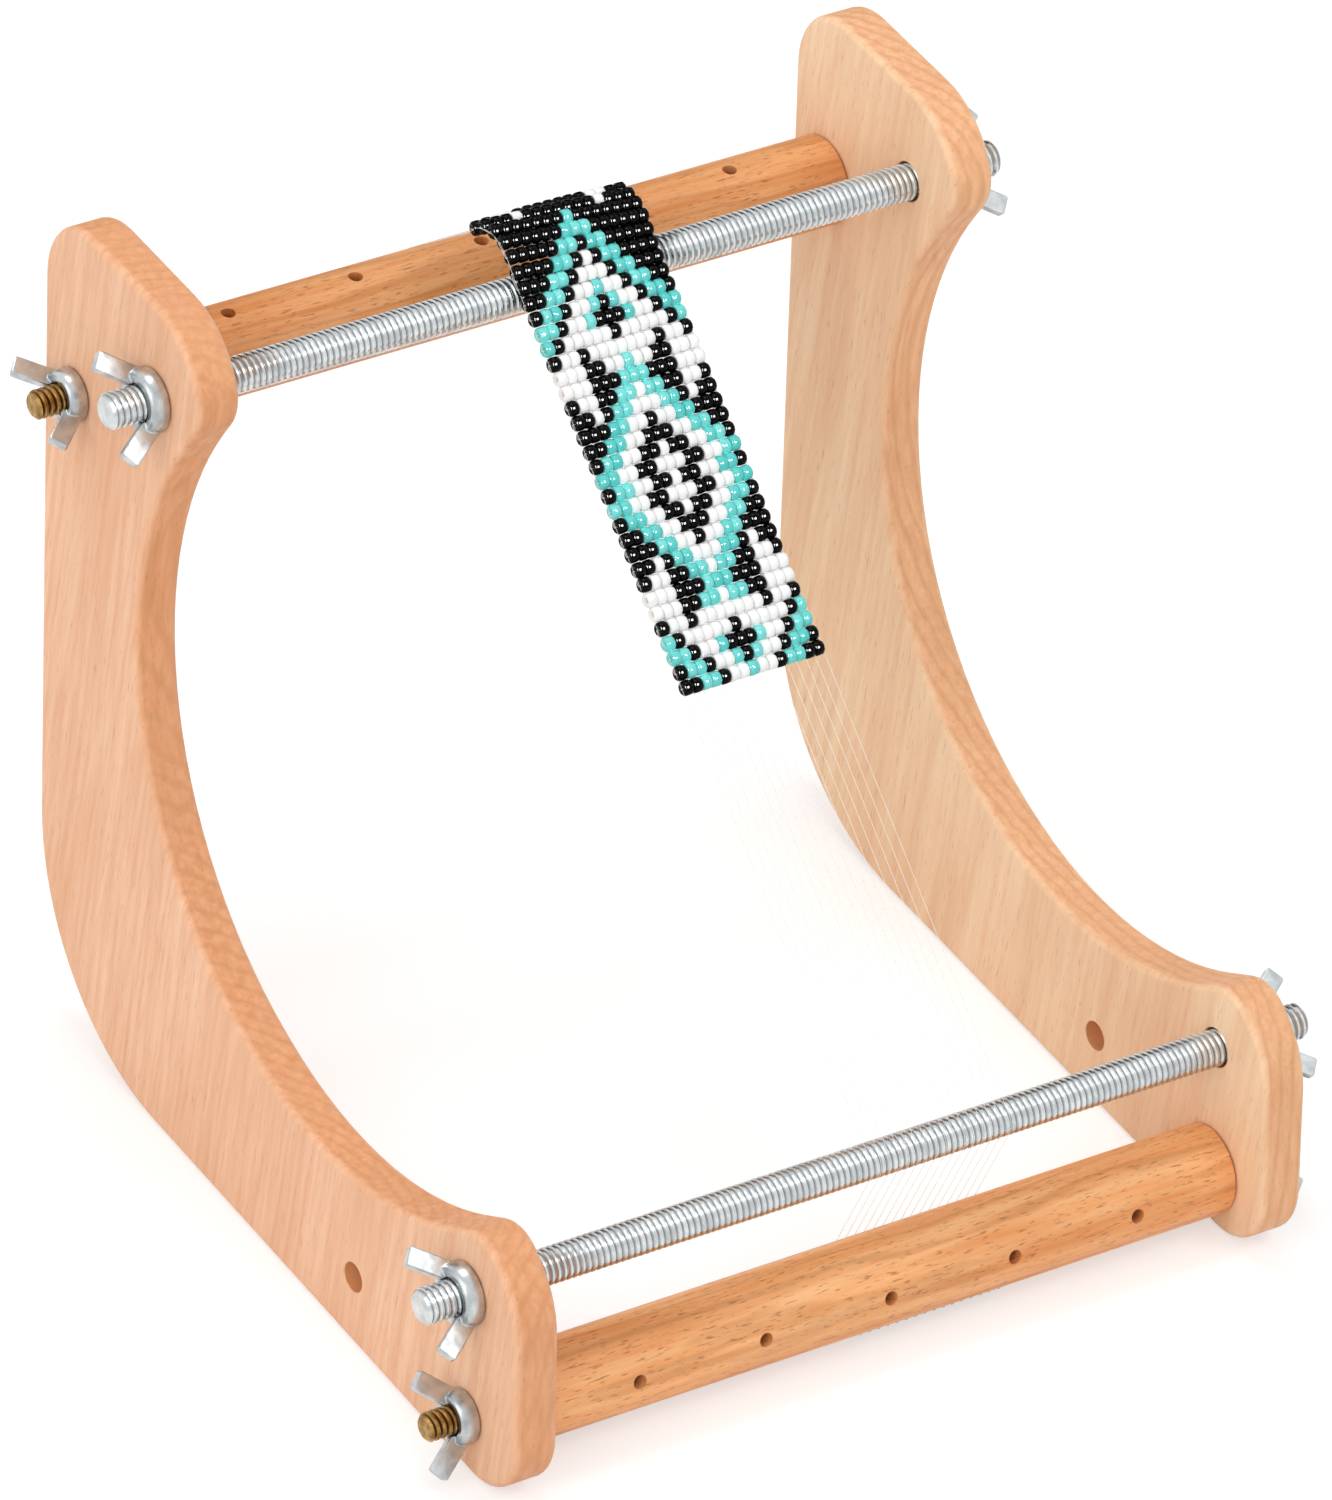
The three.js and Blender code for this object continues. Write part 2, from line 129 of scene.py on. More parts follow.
def apply_modifier(piece, kind, **settings):
    only(piece)
    modifier = piece.modifiers.new(kind.title(), kind)
    for name, value in settings.items():
        setattr(modifier, name, value)
    bpy.ops.object.modifier_apply(modifier=modifier.name)


def settle(piece):
    only(piece)
    bpy.ops.object.transform_apply(location=True, rotation=True, scale=True)


def shade(piece, angle=30, weighted=True):
    only(piece)
    bpy.ops.object.shade_smooth_by_angle(angle=math.radians(angle))
    if weighted:
        apply_modifier(piece, "WEIGHTED_NORMAL", keep_sharp=True, weight=80)


def from_points(name, points, edges=(), faces=()):
    mesh = bpy.data.meshes.new(name)
    mesh.from_pydata([tuple(p) for p in points], edges, faces)
    piece = bpy.data.objects.new(name, mesh)
    bpy.context.scene.collection.objects.link(piece)
    return piece


def chain(name, points, closed=False):
    links = [(k, k + 1) for k in range(len(points) - 1)]
    if closed:
        links.append((len(points) - 1, 0))
    return from_points(name, points, edges=links)


def turned(name, profile, steps):
    """A closed profile of (along X, radius) spun about X."""
    piece = chain(name, [(along, 0, radius) for along, radius in profile], closed=True)
    enter(piece)
    bpy.ops.mesh.spin(steps=steps, angle=math.tau, center=(0, 0, 0), axis=(1, 0, 0))
    bpy.ops.mesh.select_all(action="SELECT")
    bpy.ops.mesh.remove_doubles(threshold=1e-6)
    bpy.ops.mesh.normals_make_consistent(inside=False)
    leave()
    return piece


def joined(pieces, name):
    bpy.ops.object.select_all(action="DESELECT")
    for piece in pieces:
        piece.select_set(True)
    bpy.context.view_layer.objects.active = pieces[0]
    bpy.ops.object.join()
    pieces[0].name = name
    return pieces[0]


def discard(piece):
    bpy.data.objects.remove(piece)


def dress(piece, material, body, slot, *nodes):
    piece.data.materials.clear()
    piece.data.materials.append(material)
    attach(piece, body)
    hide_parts(*nodes)


# Materials
def linear(hex_colour):
    """A colour written as in a paint program, turned to the linear values a shader takes."""
    parts = [int(hex_colour[k:k + 2], 16) / 255 for k in (0, 2, 4)]
    return [p / 12.92 if p <= 0.04045 else ((p + 0.055) / 1.055) ** 2.4 for p in parts] + [1]


class Finish:
    """A material with its nodes, made by short calls."""

    def __init__(self, name, **sockets):
        self.material = bpy.data.materials.new(name)
        self.material.use_nodes = True
        self.nodes = self.material.node_tree.nodes
        self.shader = self.nodes["Principled BSDF"]
        for socket, value in sockets.items():
            self.shader.inputs[socket.replace("_", " ")].default_value = value

    def add(self, kind, inputs=None, **settings):
        node = self.nodes.new(kind)
        for name, value in settings.items():
            setattr(node, name, value)
        for name, value in (inputs or {}).items():
            self.feed(node.inputs[name], value)
        return node

    def feed(self, socket, value):
        if isinstance(value, bpy.types.NodeSocket):
            self.material.node_tree.links.new(value, socket)
        else:
            socket.default_value = value

    def place(self, scale=(1, 1, 1), location=(0, 0, 0)):
        coords = self.add("ShaderNodeTexCoord").outputs["Object"]
        mapping = self.add("ShaderNodeMapping", {"Vector": coords, "Scale": scale, "Location": location})
        return mapping.outputs["Vector"]

    def noise(self, vector, scale, detail=4.0, roughness=0.5):
        inputs = {"Vector": vector, "Scale": scale, "Detail": detail, "Roughness": roughness}
        return self.add("ShaderNodeTexNoise", inputs).outputs["Fac"]

    def remap(self, value, low, high, to_low=0.0, to_high=1.0):
        inputs = {"Value": value, "From Min": low, "From Max": high, "To Min": to_low, "To Max": to_high}
        return self.add("ShaderNodeMapRange", inputs).outputs["Result"]

    def math(self, operation, first, second):
        node = self.add("ShaderNodeMath", operation=operation)
        self.feed(node.inputs[0], first)
        self.feed(node.inputs[1], second)
        return node.outputs["Value"]

    def blend(self, share, first, second, blend_type="MIX"):
        node = self.add("ShaderNodeMix", data_type="RGBA", blend_type=blend_type)
        self.feed(node.inputs["Factor"], share)
        self.feed(node.inputs["A"], first)
        self.feed(node.inputs["B"], second)
        return node.outputs["Result"]

    def attribute(self, name):
        return self.add("ShaderNodeAttribute", attribute_name=name).outputs["Fac"]

    def bump(self, height, strength, distance):
        inputs = {"Height": height, "Strength": strength, "Distance": distance}
        self.feed(self.shader.inputs["Normal"], self.add("ShaderNodeBump", inputs).outputs["Normal"])

    def colour(self, value):
        self.feed(self.shader.inputs["Base Color"], value)

    def roughness(self, value):
        self.feed(self.shader.inputs["Roughness"], value)


def beech_board(name, face_colours, edge_colours):
    """Beech with its grain upright, paler on the faces and warmer on the sanded edges."""
    wood = Finish(name, IOR=1.45)
    upright = wood.place(scale=(1, 1, 0.06))
    streaks = wood.noise(upright, 420, detail=5, roughness=0.6)
    clouds = wood.noise(wood.place(scale=(1, 1, 0.15)), 48, detail=4)
    vessels = wood.noise(wood.place(scale=(1, 1, 0.1)), 1800, detail=3)
    rings = wood.add(
        "ShaderNodeTexWave",
        {"Vector": wood.place(scale=(1, 1, 0.05), location=(0.16, 0.05, 0)), "Scale": 85.0, "Distortion": 3.0,
         "Detail": 2.0, "Detail Scale": 1.4},
        wave_type="RINGS", rings_direction="Z", wave_profile="SIN",
    ).outputs["Fac"]
    face = wood.blend(wood.remap(streaks, 0.35, 0.68), *[linear(colour) for colour in face_colours])
    edge = wood.blend(wood.remap(streaks, 0.35, 0.68), *[linear(colour) for colour in edge_colours])
    band = wood.attribute("edge_band")
    base = wood.blend(band, face, edge)
    ring_share = wood.math("MULTIPLY", wood.remap(rings, 0.55, 1.0), wood.remap(band, 0, 1, 0.06, 0.32))
    base = wood.blend(ring_share, base, linear("c98a58"))
    fleck_share = wood.remap(vessels, 0.61, 0.72, 0.0, 0.42)
    base = wood.blend(fleck_share, base, linear("b57c50"))
    base = wood.blend(wood.remap(clouds, 0.38, 0.68, 0.0, 0.4), base, linear("dd9f74"))
    # Painted shade: the walls of the holes are painted a deeper brown.
    base = wood.blend(wood.attribute("bore"), base, linear("dd9f6c"))
    wood.colour(base)
    wood.roughness(wood.remap(streaks, 0.3, 0.7, 0.5, 0.62))
    wood.bump(wood.math("SUBTRACT", streaks, fleck_share), 0.25, 0.0002)
    return wood.material


def beech_dowel(name, light, dark):
    """Steamed beech with its grain along the roller: deep orange-brown, streaked and flecked."""
    wood = Finish(name, IOR=1.45)
    along = wood.place(scale=(0.05, 1, 1))
    streaks = wood.noise(along, 330, detail=5, roughness=0.62)
    flecks = wood.noise(wood.place(scale=(0.16, 1, 1)), 1700, detail=3)
    broad = wood.noise(wood.place(scale=(0.16, 1, 1)), 75, detail=3)
    rings = wood.add(
        "ShaderNodeTexWave",
        {"Vector": wood.place(scale=(0.12, 1, 1), location=(0, 0.03, 0.02)), "Scale": 60.0, "Distortion": 7.0,
         "Detail": 3.0, "Detail Scale": 1.6},
        wave_type="RINGS", rings_direction="X", wave_profile="SIN",
    ).outputs["Fac"]
    base = wood.blend(wood.remap(streaks, 0.34, 0.66), linear(light), linear(dark))
    base = wood.blend(wood.remap(broad, 0.42, 0.68, 0.0, 0.4), base, linear("cc7c40"))
    base = wood.blend(wood.remap(rings, 0.75, 1.0, 0.0, 0.3), base, linear("b06a34"))
    fleck_share = wood.remap(flecks, 0.58, 0.7, 0.0, 0.6)
    base = wood.blend(fleck_share, base, linear("85451a"))
    # Painted shade: the insides of the peg holes and bolt sockets are painted a dark brown.
    base = wood.blend(wood.attribute("bore"), base, linear("5c2f12"))
    wood.colour(base)
    wood.roughness(wood.remap(streaks, 0.3, 0.7, 0.38, 0.52))
    wood.bump(wood.math("SUBTRACT", streaks, fleck_share), 0.3, 0.0002)
    return wood.material


def plated_steel(name, light, dark, roughness):
    steel = Finish(name, Metallic=1.0)
    mottle = steel.noise(steel.place(), 240, detail=3)
    fine = steel.noise(steel.place(scale=(0.4, 1, 1)), 1800, detail=2)
    plate = steel.blend(steel.remap(mottle, 0.35, 0.65), linear(light), linear(dark))
    # Painted shade: the thread grooves are darkened towards a dark grey.
    steel.colour(steel.blend(steel.remap(steel.attribute("groove_shade"), 0.35, 1.0), plate, linear("9ba1a5")))
    steel.roughness(steel.remap(mottle, 0.3, 0.7, roughness, roughness + 0.1))
    steel.bump(fine, 0.08, 0.00003)
    return steel.material


def yellowed_zinc():
    steel = Finish("yellow_zinc", Metallic=1.0)
    stain = steel.noise(steel.place(), 420, detail=4)
    plate = steel.blend(steel.remap(stain, 0.35, 0.65), linear("b8955f"), linear("86622f"))
    # Painted shade: the thread grooves are darkened towards a dark brown.
    steel.colour(steel.blend(steel.remap(steel.attribute("groove_shade"), 0.2, 1.0), plate, linear("4a3213")))
    steel.roughness(steel.remap(stain, 0.3, 0.7, 0.24, 0.4))
    steel.bump(stain, 0.12, 0.00006)
    return steel.material


def bead_glass(name, colour, shade_colour, roughness, ior):
    """Opaque glass: each bead has a tone of its own between the two colours."""
    glass = Finish(name, IOR=ior)
    glass.colour(glass.blend(glass.attribute("tone"), linear(colour), linear(shade_colour)))
    ripple = glass.noise(glass.place(), 700, detail=1)
    glass.roughness(glass.remap(ripple, 0.3, 0.7, roughness, roughness + 0.03))
    glass.bump(ripple, 0.1, 0.00006)
    return glass.material


def nylon():
    thread = Finish("clear_nylon", Roughness=0.18, IOR=1.5, Alpha=0.4)
    cloud = thread.noise(thread.place(), 300, detail=1)
    thread.colour(thread.blend(cloud, linear("ffffff"), linear("f3f3ef")))
    return thread.material


def cotton():
    cord = Finish("cotton_cord", Roughness=0.85)
    fibres = cord.noise(cord.place(), 3200, detail=3)
    cord.colour(cord.blend(fibres, linear("f1ece0"), linear("cfc8b8")))
    cord.bump(fibres, 0.5, 0.0001)
    return cord.material


# Cutters: a drill goes in at start along way, and stands as far out again
def drill(diameter, depth, start, way, sides):
    turn = way.to_track_quat("Z", "Y").to_euler()
    bpy.ops.mesh.primitive_cylinder_add(vertices=sides, radius=diameter / 2, depth=2 * depth, location=start,
                                        rotation=turn)
    settle(bpy.context.object)
    return bpy.context.object


def cut(piece, cutters, operation="DIFFERENCE"):
    cutter = joined(cutters, "cutter")
    apply_modifier(piece, "BOOLEAN", operation=operation, object=cutter, solver="EXACT")
    discard(cutter)


# Cheeks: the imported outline, made a board with rounded edges, and drilled with eased holes
edge_round = 2 * MM
hole_ease = 0.35 * MM
cheek_holes = [
    (upper_rod, 5.5 * MM),
    (lower_rod, 5.5 * MM),
    (upper_roller, 4.4 * MM),
    (lower_roller, 4.4 * MM),
    (spare_hole, 4.15 * MM),
]


def hole_near(place, slack):
    for centre, radius in cheek_holes:
        if math.hypot(place.y - centre.y, place.z - centre.z) < radius + slack:
            return True
    return False


def eased_drill(centre, radius, left, right):
    """A hole's cutter with flared ends, so that the hole's rims come out rounded."""
    ease = hole_ease
    flare = [(ease, radius), (0.5 * ease, radius + 0.15 * ease), (0.14 * ease, radius + 0.5 * ease)]
    flare += [(0, radius + ease), (-MM, radius + ease)]
    profile = [(left + inset, reach) for inset, reach in reversed(flare)]
    profile += [(right - inset, reach) for inset, reach in flare]
    profile += [(right + MM, 0), (left - MM, 0)]
    cutter = turned("eased_drill", profile, 48)
    cutter.data.transform(Matrix.Translation((0, centre.y, centre.z)))
    return cutter


def cheek_board(side, material):
    node = f"{side}_cheek"
    low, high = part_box(node)
    board = frame["nodes"][node].copy()
    board.data = board.data.copy()
    board.parent = None
    board.name = f"{side}_cheek_board"
    for key in list(board.keys()):
        del board[key]
    bpy.context.scene.collection.objects.link(board)
    middle = (low.x + high.x) / 2
    enter(board)
    bpy.ops.mesh.remove_doubles(threshold=1e-6)
    bpy.ops.mesh.select_all(action="SELECT")
    bpy.ops.mesh.bisect(plane_co=(middle, 0, 0), plane_no=(1, 0, 0), clear_inner=True, clear_outer=True)
    pick(board, "VERT", lambda v: hole_near(v.co, 0.5 * MM))
    bpy.ops.mesh.delete(type="VERT")
    bpy.ops.mesh.select_all(action="SELECT")
    bpy.ops.mesh.remove_doubles(threshold=1e-5)
    bpy.ops.mesh.edge_face_add()
    bpy.ops.transform.translate(value=(low.x - middle, 0, 0))
    bpy.ops.mesh.extrude_region_move(TRANSFORM_OT_translate={"value": (high.x - low.x, 0, 0)})
    bpy.ops.mesh.select_all(action="SELECT")
    bpy.ops.mesh.normals_make_consistent(inside=False)
    pick(board, "EDGE", lambda e: abs(e.verts[0].co.x - e.verts[1].co.x) < MM)
    bpy.ops.mesh.bevel(offset=edge_round, segments=5, profile=0.5, affect="EDGES", clamp_overlap=False)
    leave()
    cut(board, [eased_drill(centre, radius, low.x, high.x) for centre, radius in cheek_holes])
    band = board.data.attributes.new("edge_band", "FLOAT", "POINT")
    # bore marks the hole walls, where the finish paints shade into the holes.
    bore = board.data.attributes.new("bore", "FLOAT", "POINT")
    for k, vertex in enumerate(board.data.vertices):
        depth = min(vertex.co.x - low.x, high.x - vertex.co.x)
        inside = hole_near(vertex.co, hole_ease + 0.1 * MM)
        bore.data[k].value = 1.0 if inside and depth > hole_ease / 2 else 0.0
        band.data[k].value = 0.0 if inside else min(depth / edge_round, 1.0)
    shade(board, angle=35)
    dress(board, material, "frame", "beech_cheek", node)
    return board


# Rollers: dowels bored for the hanger bolts and drilled for pegs
def roller_dowel(level, centre, peg_tilt, material):
    node = f"{level}_roller"
    low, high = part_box(node)
    length = high.x - low.x
    bpy.ops.mesh.primitive_cylinder_add(vertices=96, radius=roller_diameter / 2, depth=length,
                                        location=centre, rotation=(0, math.pi / 2, 0))
    dowel = bpy.context.object
    dowel.name = f"{level}_roller_dowel"
    settle(dowel)
    enter(dowel)
    pick(dowel, "EDGE", lambda e: abs(e.verts[0].co.x - e.verts[1].co.x) < MM)
    bpy.ops.mesh.bevel(offset=0.8 * MM, segments=4, profile=0.5, affect="EDGES")
    leave()
    out = Vector((0, -math.cos(peg_tilt), math.sin(peg_tilt)))
    drills = []
    for end in (-1, 1):
        start = centre + across * end * length / 2
        drills.append(drill(bolt_socket, bolt_socket_depth, start, across * -end, 32))
    for k in range(5):
        start = centre + across * (k - 2) * peg_hole_pitch + out * roller_diameter / 2
        drills.append(drill(peg_hole_diameter, peg_hole_depth, start, -out, 32))
    cut(dowel, drills)
    # bore marks the insides of the peg holes and bolt sockets, where the finish paints shade.
    bore = dowel.data.attributes.new("bore", "FLOAT", "POINT")
    for k, vertex in enumerate(dowel.data.vertices):
        reach = math.hypot(vertex.co.y - centre.y, vertex.co.z - centre.z)
        in_middle = abs(vertex.co.x) < length / 2 - MM
        bore.data[k].value = 1.0 if in_middle and reach < roller_diameter / 2 - 0.6 * MM else 0.0
    shade(dowel, angle=30)
    dress(dowel, material, node, "beech_roller", node)
    return dowel


# Threaded bars: one turn of thread wound the whole length, faced and chamfered at both ends
def threaded_bar(name, node, body, slot, pitch, depth, chamfer, material):
    low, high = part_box(node)
    centre = (low + high) / 2
    radius = (high.z - low.z) / 2
    length = high.x - low.x
    root = radius - depth
    # One turn of thread: the share of the pitch, and the radius there
    profile = [(0, root), (0.27, radius), (0.6, radius), (0.87, root), (1, root)]
    start = -length / 2 - 1.5 * pitch
    bar = chain(name, [(start + share * pitch, 0, reach) for share, reach in profile])
    turns = math.ceil(length / pitch) + 2
    apply_modifier(bar, "SCREW", axis="X", steps=24, render_steps=24, screw_offset=pitch, iterations=turns,
                   use_merge_vertices=True, merge_threshold=1e-6)
    enter(bar)
    bpy.ops.mesh.remove_doubles(threshold=1e-6)
    for end in (-1, 1):
        bpy.ops.mesh.select_all(action="SELECT")
        bpy.ops.mesh.bisect(plane_co=(end * length / 2, 0, 0), plane_no=(end, 0, 0), use_fill=True,
                            clear_outer=True)
    bpy.ops.mesh.select_all(action="SELECT")
    bpy.ops.mesh.normals_make_consistent(inside=False)
    leave()
    bpy.ops.mesh.primitive_cylinder_add(vertices=48, radius=radius + 0.02 * MM, depth=length + 0.02 * MM,
                                        rotation=(0, math.pi / 2, 0))
    envelope = bpy.context.object
    settle(envelope)
    enter(envelope)
    pick(envelope, "EDGE", lambda e: abs(e.verts[0].co.x - e.verts[1].co.x) < MM)
    bpy.ops.mesh.bevel(offset=chamfer, segments=1, affect="EDGES")
    leave()
    cut(bar, [envelope], "INTERSECT")
    # groove_shade runs from 0 on the thread crests to 1 in its roots; the steel finishes use it to paint
    # shade into the grooves.
    groove_shade = bar.data.attributes.new("groove_shade", "FLOAT", "POINT")
    for k, vertex in enumerate(bar.data.vertices):
        reach = math.hypot(vertex.co.y, vertex.co.z)
        on_end = abs(vertex.co.x) > length / 2 - 0.1 * MM
        groove_shade.data[k].value = 0.0 if on_end else min(max((radius - reach) / depth, 0.0), 1.0)
    bar.data.transform(Matrix.Translation(centre))
    shade(bar, angle=35, weighted=False)
    dress(bar, material, body, slot, node)
    return bar


# Wing nuts: a spun hub and two leaning strips, run together and smoothed as plated castings are
def wing_nut_mesh(thread, base, tip_span, tip_height):
    hub_height = 5 * MM
    collar = 1 * MM
    bore = thread / 2 + rest_gap
    rim = base / 2
    mouth = (bore + rim) / 2
    profile = [(0, bore), (0, rim - 0.3 * MM), (0.3 * MM, rim), (collar, rim)]
    for k in range(1, 7):
        angle = math.radians(15 * k)
        profile.append((collar + (hub_height - collar) * math.sin(angle),
                        mouth + (rim - mouth) * math.cos(angle)))
    profile.append((hub_height - 0.2 * MM, bore + 0.3 * MM))
    profile.append((hub_height - 0.6 * MM, bore))
    nut = turned("hub", profile, 64)
    thickness = 2.4 * MM
    width = 5.4 * MM
    foot = Vector((2.9 * MM, rim - 2.3 * MM, 0))
    way = Vector((tip_height, tip_span / 2, 0)) - foot
    lean = math.atan2(way.y, way.x)
    for side in (-1, 1):
        bpy.ops.mesh.primitive_cube_add(size=1, scale=(way.length, width, thickness))
        wing = bpy.context.object
        settle(wing)
        enter(wing)
        pick(wing, "EDGE", lambda e: all(v.co.x > 0 for v in e.verts) and abs(middle_of(e).y) > width / 4
             and abs(e.verts[0].co.z - e.verts[1].co.z) > MM)
        bpy.ops.mesh.bevel(offset=0.7 * MM, segments=4, profile=0.5, affect="EDGES")
        leave()
        at = foot + way / 2
        stand = Matrix.Translation((at.x, side * at.y, 0)) @ Matrix.Rotation(side * lean, 4, "Z")
        wing.data.transform(stand)
        cut(nut, [wing], "UNION")
    bpy.ops.mesh.primitive_cylinder_add(vertices=64, radius=bore, depth=40 * MM, rotation=(0, math.pi / 2, 0))
    settle(bpy.context.object)
    cut(nut, [bpy.context.object])
    apply_modifier(nut, "REMESH", mode="VOXEL", voxel_size=0.16 * MM, adaptivity=0)
    apply_modifier(nut, "SMOOTH", factor=0.5, iterations=6)
    apply_modifier(nut, "DECIMATE", ratio=0.3)
    return nut


def place_wing_nut(pattern, node, body, side, centre, turn, material):
    low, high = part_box(node)
    seat = low.x if side > 0 else high.x
    nut = pattern.copy()
    nut.data = pattern.data.copy()
    nut.name = node + "_cast"
    bpy.context.scene.collection.objects.link(nut)
    flip = Matrix.Rotation(math.pi if side < 0 else 0, 4, "Z")
    stand = Matrix.Rotation(math.radians(turn), 4, "X")
    nut.data.transform(Matrix.Translation(centre + across * seat) @ stand @ flip)
    shade(nut, angle=40, weighted=False)
    dress(nut, material, body, "zinc_steel", node)
    return nut


# The way of the work: straight up past the rod, then over in an arch
down = (lower_rod - upper_rod).normalized()
front_out = Vector((0, down.z, -down.y))
work_reach = rod_diameter / 2 + rest_gap + bead_diameter / 2
arch_start = upper_rod + front_out * work_reach - down * work_stand_up
arch_centre = arch_start - front_out * arch_radius
work_total = bead_rows * bead_diameter


def work_at(distance):
    """The place in the side view and the way out, at a distance up the work from its last row."""
    past = distance - work_length - work_stand_up
    if past < 0:
        return arch_start - down * past, front_out
    angle = past / arch_radius
    out = front_out * math.cos(angle) - down * math.sin(angle)
    return arch_centre + out * arch_radius, out


def work_centre(distance):
    return work_at_rod + work_slant * max(work_length - distance, 0)


def row_turn(distance):
    start = work_length - row_turn_from
    share = max(distance - start, 0) / (work_total - start)
    return math.tan(row_turn_at_end * share ** 2)


# The pattern: stepped diamonds, worked out from how far a bead lies from their middles
def bead_colour(row, column):
    """row counts up the work from the middle of the full diamond, column from the middle bead."""
    c = abs(column)
    m = abs(row)
    if m <= 7:
        step = c + (m if m else 2)
        if step <= 8:
            return (*["white"] * 3, *["black"] * 2, *["white"] * 2, *["turquoise"] * 2)[step]
        return "white" if 5 <= c <= m else "black"
    if m <= 9:
        if c < m - 5:
            fork = m == 8 and (c == 0) == (row > 0)
            return "turquoise" if fork else "white"
        return "white" if 5 <= c <= 15 - m else "black"
    if m >= 19:
        return "white" if 4 <= c <= m - 15 else "black"
    slope = c + m
    if slope > 18 or slope == 16 or c + abs(m - 11) <= 1:
        return "black"
    if slope > 16 or (m > 10 and c == 13 - m):
        return "turquoise"
    return "white"


def bead_mesh():
    """A round-shouldered bead, a little over size so that neighbours touch."""
    half = bead_length / 2
    radius = 1.06 * bead_diameter / 2
    hole = 0.6 * MM
    profile = [(-0.86 * half, hole), (-0.99 * half, 0.78 * radius), (-0.68 * half, 0.965 * radius),
               (0, radius)]
    profile += [(-along, reach) for along, reach in reversed(profile[:3])]
    bead = turned("bead", profile, 10)
    mesh = bead.data
    for polygon in mesh.polygons:
        polygon.use_smooth = True
    return bead


def beadwork(materials):
    rng = random.Random(7)
    pattern = bead_mesh()
    gathered = {colour: bmesh.new() for colour in materials}
    tones = {colour: [] for colour in materials}
    for row in range(bead_rows):
        distance = (row + 0.5) * bead_diameter
        turn = row_turn(distance)
        sway = rng.uniform(-0.1, 0.1) * MM
        for column in range(beads_across):
            w = (column - (beads_across - 1) / 2) * bead_length
            place, out = work_at(distance - w * turn)
            hole_way = (across + Vector((0, -out.z, out.y)) * turn).normalized()
            third = out.cross(hole_way)
            stand = Matrix((hole_way, third, out)).transposed().to_4x4()
            shift = Vector([rng.uniform(-0.05, 0.05) * MM for _ in range(3)])
            tilt = Matrix.Rotation(rng.uniform(-0.05, 0.05), 4, "Z") @ Matrix.Rotation(
                rng.uniform(-0.04, 0.04), 4, "Y")
            shorter = Matrix.Diagonal((rng.uniform(0.96, 1.01), 1, 1, 1))
            size = shorter @ Matrix.Scale(rng.uniform(0.975, 1.0), 4)
            x = work_centre(distance) + w + sway
            at = Matrix.Translation(place + across * x + shift) @ stand @ tilt @ size
            colour = bead_colour(row - rows_below_middle, column - beads_across // 2)
            mesh = gathered[colour]
            first = len(mesh.verts)
            mesh.from_mesh(pattern.data)
            mesh.verts.ensure_lookup_table()
            bmesh.ops.transform(mesh, matrix=at, verts=mesh.verts[first:])
            tones[colour] += [rng.random()] * len(pattern.data.vertices)
    discard(pattern)
    for k, (colour, mesh) in enumerate(gathered.items()):
        beads = from_points(f"{colour}_beads", [])
        mesh.to_mesh(beads.data)
        mesh.free()
        tone = beads.data.attributes.new("tone", "FLOAT", "POINT")
        tone.data.foreach_set("value", tones[colour])
        dress(beads, materials[colour], "frame", "glass_beads", "beadwork")


# Threads
def tubes(name, ways, diameter, material, slot, *nodes):
    curve = bpy.data.curves.new(name, "CURVE")
    curve.dimensions = "3D"
    curve.bevel_depth = diameter / 2
    curve.bevel_resolution = 1
    curve.use_fill_caps = True
    for way in ways:
        spline = curve.splines.new("POLY")
        spline.points.add(len(way) - 1)
        for point, place in zip(spline.points, way):
            point.co = (*place, 1)
    piece = bpy.data.objects.new(name, curve)
    bpy.context.scene.collection.objects.link(piece)
    only(piece)
    bpy.ops.object.convert(target="MESH")
    piece = bpy.context.object
    for polygon in piece.data.polygons:
        polygon.use_smooth = True
    dress(piece, material, "frame", slot, *nodes)
    return piece


def reach_at(angle):
    """The way out from a centre: 0 is forward to the weaver, a quarter turn is up."""
    return Vector((0, -math.cos(angle), math.sin(angle)))


def angle_to(place):
    return math.atan2(place.z, -place.y)


def round_a_bar(centre, reach, start, end, steps):
    return [centre + reach_at(start + (end - start) * k / steps) * reach for k in range(steps + 1)]


lower_tie_turn = math.radians(288)
upper_tie_turn = math.radians(250)
tie_diameter = 1.4 * MM
rod_reach = rod_diameter / 2 + thread_diameter / 2
roller_reach = roller_diameter / 2 + thread_diameter / 2


def warp_below_the_work():
    """From the lower rod's front round and behind the lower roller, to the tie cord, seen from the side."""
    span = lower_roller - lower_rod
    crossing = math.acos((rod_reach + roller_reach) / span.length)
    leave_turn = angle_to(span) + crossing
    over_rod = round_a_bar(lower_rod, rod_reach, angle_to(front_out), leave_turn, 8)
    return over_rod + round_a_bar(lower_roller, roller_reach, leave_turn + math.pi, lower_tie_turn, 16)


below_the_work = warp_below_the_work()
lower_middle = work_centre(0) + work_slant * (below_the_work[0] - work_at(0)[0]).length


def warp_ways():
    """One way for each warp thread, from the upper tie cord through the work to the lower one."""
    ways = []
    for k in range(beads_across + 1):
        w = (k - beads_across / 2) * bead_length
        end = work_total - w * row_turn(work_total)
        start = work_at(end)[0]
        back = start - upper_roller
        touch = angle_to(back) + math.acos(roller_reach / back.length)
        above = round_a_bar(upper_roller, roller_reach, upper_tie_turn, touch, 16)
        way = [place + across * (work_centre(work_total) + w) for place in above]
        for step in range(bead_rows + 1):
            distance = end * (1 - step / bead_rows)
            way.append(work_at(distance)[0] + across * (work_centre(distance) + w))
        way += [place + across * (lower_middle + w) for place in below_the_work]
        ways.append(way)
    return ways


